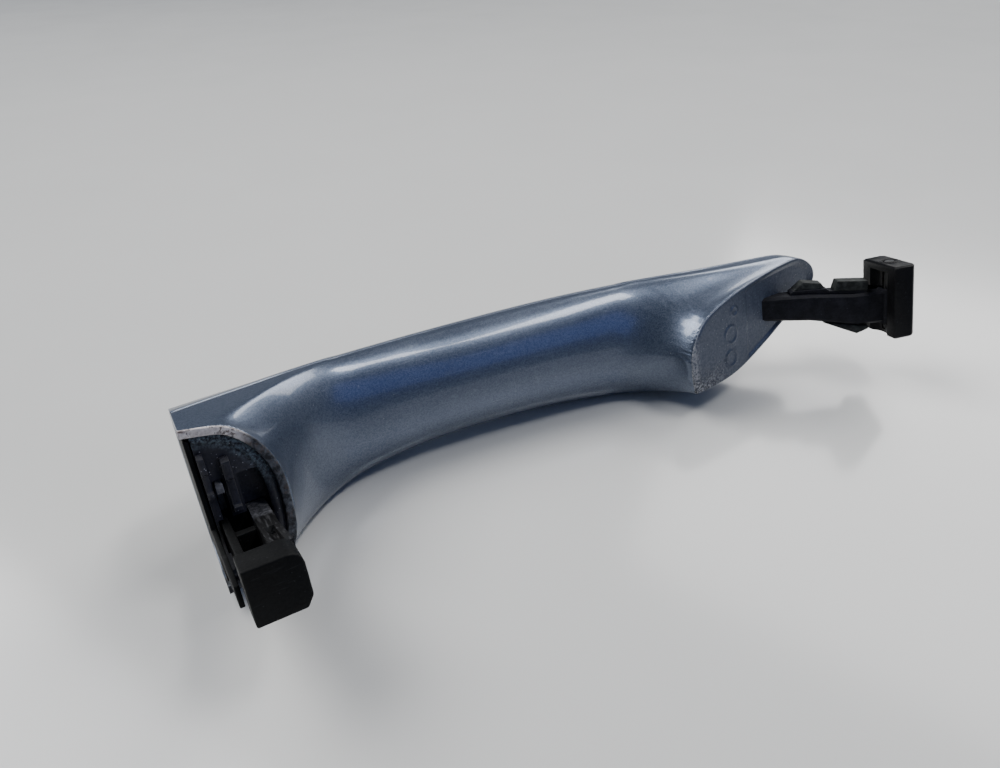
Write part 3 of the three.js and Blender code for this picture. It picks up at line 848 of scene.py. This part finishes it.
def front_pad():
    """The front pad's face: rings shrinking from the outline to its middle, its rim rounded."""
    angles = np.linspace(0, 2 * math.pi, 220, endpoint=False)
    path = outline_in_plane(PAD_CENTRE, angles, lambda x: pad_plane(x) + OUTLINE_LIFT, 70.0)
    edge = np.array([(0, 0.8), (0, 0.4), (0.06, 0.22), (0.18, 0.08), (0.4, 0), (0.9, 0)], float)
    rim = carried_profile(path, pad_plane, edge, closed=True)
    shrink = np.linspace(1, 0, PAD_RINGS + 1)[1:, None, None]
    inner = rim[:, -1][None, :, :]
    middle_point = np.array([PAD_CENTRE[0], pad_plane(PAD_CENTRE[0]), PAD_CENTRE[1]])
    face = middle_point + (inner - middle_point) * shrink
    fade = np.clip((1 - shrink[..., 0]) * 12, 0, 1)
    face[..., 1] += pad_relief(face[..., 0], face[..., 2]) * fade
    points = np.concatenate([np.swapaxes(rim, 0, 1), face])
    mesh = grid_mesh("front_pad_face", points, wrap=True)

    def face_the_door(bm):
        join_and_face_out(bm)
        if sum(f.normal.y * f.calc_area() for f in bm.faces) > 0:
            bmesh.ops.reverse_faces(bm, faces=bm.faces)

    with_bmesh(mesh, face_the_door)
    new_object("front_pad_face", mesh, front_pad_paint)


def seam_strip():
    """The seal in the seam: a flat band following the widest line round the nose."""
    x = np.concatenate([STATIONS[STATIONS >= 0], STATIONS[STATIONS >= 0][-2::-1]])
    rows = len(x) // 2 + 1
    side = np.where(np.arange(len(x)) < rows, -1.0, 1.0)
    path = np.stack([x, middle(x) + side * half_height(x)], -1)
    profile = np.array([(0.5, -0.5), (0.5, 0.5), (1.6, 0.5), (1.6, -0.5)])
    mesh = grid_mesh("seam_seal", carried_profile(path, widest_line, profile), wrap=True)
    with_bmesh(mesh, close_ends)
    new_object("seam_seal", mesh, rubber, replaces=("seam_gasket",))


rear_rim()
recess_band()
front_pad()
seam_strip()

# ------------------------------------------------------------------ moulded parts


def softened(node, material, radius, body):
    """The same solid with its edges rounded: the mesh is joined up, then every edge is bevelled."""
    mesh = frame["nodes"][node].data.copy()
    mesh.name = node + "_moulded"

    def join(bm):
        bmesh.ops.remove_doubles(bm, verts=bm.verts, dist=MERGE)
        bmesh.ops.dissolve_limit(bm, angle_limit=FLAT_ANGLE, verts=bm.verts, edges=bm.edges)

    with_bmesh(mesh, join)
    mesh.polygons.foreach_set("use_smooth", np.ones(len(mesh.polygons), bool))
    piece = new_object(node + "_moulded", mesh, material, body, (node,))
    round_edges(piece, radius)


for node, finish, slot, radius, body in (
    ("rear_carrier", recess, "black_plastic", 0.25, HANDLE),
    ("rail_left", recess, "black_plastic", 0.18, HANDLE),
    ("rail_right", recess, "black_plastic", 0.18, HANDLE),
    ("latch_tongue", grey, "grey_plastic", 0.18, HANDLE),
    ("end_plate", black, "black_plastic", 0.22, HANDLE),
    ("pull_hook", black, "black_plastic", 0.3, HANDLE),
    ("hook_cheek", cheek, "grey_plastic", 0.2, HANDLE),
    ("hook_block", black, "black_plastic", 0.45, HANDLE),
    ("front_arm", arm_plastic, "black_plastic", 0.4, HANDLE),
    ("arm_ramp_root", ramp_plastic, "black_plastic", 0.3, HANDLE),
    ("arm_ramp_tip", ramp_plastic, "black_plastic", 0.3, HANDLE),
    ("arm_wedge", ramp_plastic, "black_plastic", 0.3, HANDLE),
    ("hinge_head", head_plastic, "black_plastic", 0.4, HEAD),
    ("hinge_pin", pin_finish, "steel", 0.25, HEAD),
):
    softened(node, finish, radius, body)

for node, finish in (
    ("core_beam", filled), ("front_mount_plate", filled), ("grip_stiffener", steel),
    ("tongue_spring", steel), ("rear_screw_upper", steel), ("rear_screw_lower", steel),
    ("front_screw_upper", steel), ("front_screw_lower", steel),
):
    for place in frame["nodes"][node].material_slots:
        place.material = finish

# ------------------------------------------------------------------ small mouldings


def recess_ribs():
    """Comb of fine ribs low in the recess: a sheet whose depth is a rounded sine wave across it."""
    first, last, pitch, height = -12.6, -16.8, 0.6, 0.35
    x, z = np.meshgrid(np.linspace(9.4, 15.2, 9), np.linspace(first, last, 85), indexing="ij")
    wave = np.abs(np.sin((z - first) * math.pi / pitch)) ** 0.6
    mesh = grid_mesh("recess_ribs", np.stack([x, 1.3 - height * wave, z], -1))
    piece = new_object("recess_ribs", mesh, recess)
    solidify(piece, 0.3, 0.0)


HEAD_TOP = 10.3


def head_ring():
    """Round moulding mark on top of the head: a low ridge turned about the pin."""
    turn = np.linspace(0, 2 * math.pi, 65)[:, None]
    profile = np.array([
        (2.2, 0.0), (2.3, 0.12), (2.5, 0.17), (2.7, 0.12), (2.8, 0.0), (2.5, -0.15),
    ])
    radius, height = profile[:, 0], profile[:, 1] + HEAD_TOP
    points = np.stack([
        PIN_PLACE[0] + np.cos(turn) * radius, PIN_PLACE[1] + np.sin(turn) * radius,
        height + 0 * turn,
    ], -1)
    mesh = grid_mesh("head_ring", points, wrap=True)
    with_bmesh(mesh, join_and_face_out)
    new_object("head_ring", mesh, head_plastic, HEAD)


def prism(name, outline, place, low, high):
    """A flat outline [along, up] given thickness across: place turns each corner to handle mm."""
    count = len(outline)
    near = [place(along, low, up) for along, up in outline]
    far = [place(along, high, up) for along, up in outline]
    sides = [(i, (i + 1) % count, (i + 1) % count + count, i + count) for i in range(count)]
    mesh = bpy.data.meshes.new(name)
    ends = [tuple(range(count)), tuple(range(count, 2 * count))]
    mesh.from_pydata(to_row(near + far), [], ends + sides)
    with_bmesh(mesh, lambda bm: bmesh.ops.recalc_face_normals(bm, faces=bm.faces))
    mesh.polygons.foreach_set("use_smooth", np.ones(len(mesh.polygons), bool))
    return mesh


ARM_ROOT = (173.5, 7.5)
ARM_TURN = math.radians(-34.3)
HEAD_TURN = math.radians(-20)


def turned(start, turn, along, across, up):
    """A place measured along and across a direction turned about Z from a start, in handle mm."""
    c, s = math.cos(turn), math.sin(turn)
    return (start[0] + along * c - across * s, start[1] + along * s + across * c, up)


def on_arm(along, across, up):
    return turned(ARM_ROOT, ARM_TURN, along, across, up)


def on_head(out, across, up):
    return turned(PIN_PLACE, HEAD_TURN, out, across, up)


def arm_spine():
    """The rib on top of the arm that carries the two ramps."""
    outline = [
        (8.6, 3.4), (8.6, 4.6), (9.4, 5.1), (19.2, 4.7), (20.2, 3.8), (31.2, 2.9), (31.2, 1.2),
        (14, 2.6),
    ]
    mesh = prism("arm_spine", outline, on_arm, -1.9, 2.5)
    piece = new_object("arm_spine", mesh, arm_plastic)
    round_edges(piece, 0.25)


def head_cap():
    """Thin web that closes the outer face of the head behind the boss."""
    outline = [(3.33, -9.6), (3.41, -9.6), (3.41, 3.0), (3.33, 3.0)]
    mesh = prism("head_cap", outline, on_head, -3.4, 3.4)
    new_object("head_cap", mesh, head_plastic, HEAD)


recess_ribs()
head_ring()
arm_spine()
head_cap()

# ------------------------------------------------------------------ floor and light


FLOOR_HALF = 4.0


def add_floor():
    """A plain pale table top with a soft gloss."""
    corners = [(-1, -1), (1, -1), (1, 1), (-1, 1)]
    mesh = bpy.data.meshes.new("floor")
    mesh.from_pydata([(FLOOR_HALF * x, FLOOR_HALF * y, 0) for x, y in corners], [], [(0, 1, 2, 3)])
    floor = bpy.data.objects.new("floor", mesh)
    bpy.context.scene.collection.objects.link(floor)
    f = Finish("pale_table", Specular_IOR_Level=0.35)
    cloud = f.noise(60.0, 2.0)
    pale = f.mix(cloud, (0.66, 0.655, 0.63), (0.69, 0.685, 0.66))
    f.done(Base_Color=pale, Roughness=0.13 + 0.05 * cloud)
    mesh.materials.append(f.material)


def add_light(name, place, size, power, colour=(1, 1, 1)):
    """A rectangular area light at a place in row metres, aimed at the middle of the handle."""
    data = bpy.data.lights.new(name, "AREA")
    data.shape = "RECTANGLE"
    data.size, data.size_y = size
    data.energy = power
    data.color = colour
    light = bpy.data.objects.new(name, data)
    light.location = place
    aim = Vector((0, 0, 0.02)) - Vector(place)
    light.rotation_euler = aim.to_track_quat("-Z", "Y").to_euler()
    bpy.context.scene.collection.objects.link(light)


def add_world():
    """A dim blue-grey room all round."""
    world = bpy.data.worlds.new("pale_room")
    world.use_nodes = True
    background = world.node_tree.nodes["Background"]
    background.inputs["Color"].default_value = (0.55, 0.68, 0.95, 1)
    background.inputs["Strength"].default_value = 0.17
    bpy.context.scene.world = world


add_floor()
add_light("window", (1.35, 0.55, 1.05), (1.2, 0.9), 22, (1.0, 0.99, 0.97))
add_light("ceiling", (-0.8, 0.95, 1.4), (1.2, 1.0), 34)
add_light("lamp", (0.40, -0.24, 0.98), (0.36, 0.15), 3.3)
add_light("blue_fill", (0.45, -0.95, 0.62), (0.9, 0.5), 1.0, (0.22, 0.36, 1.0))
add_world()
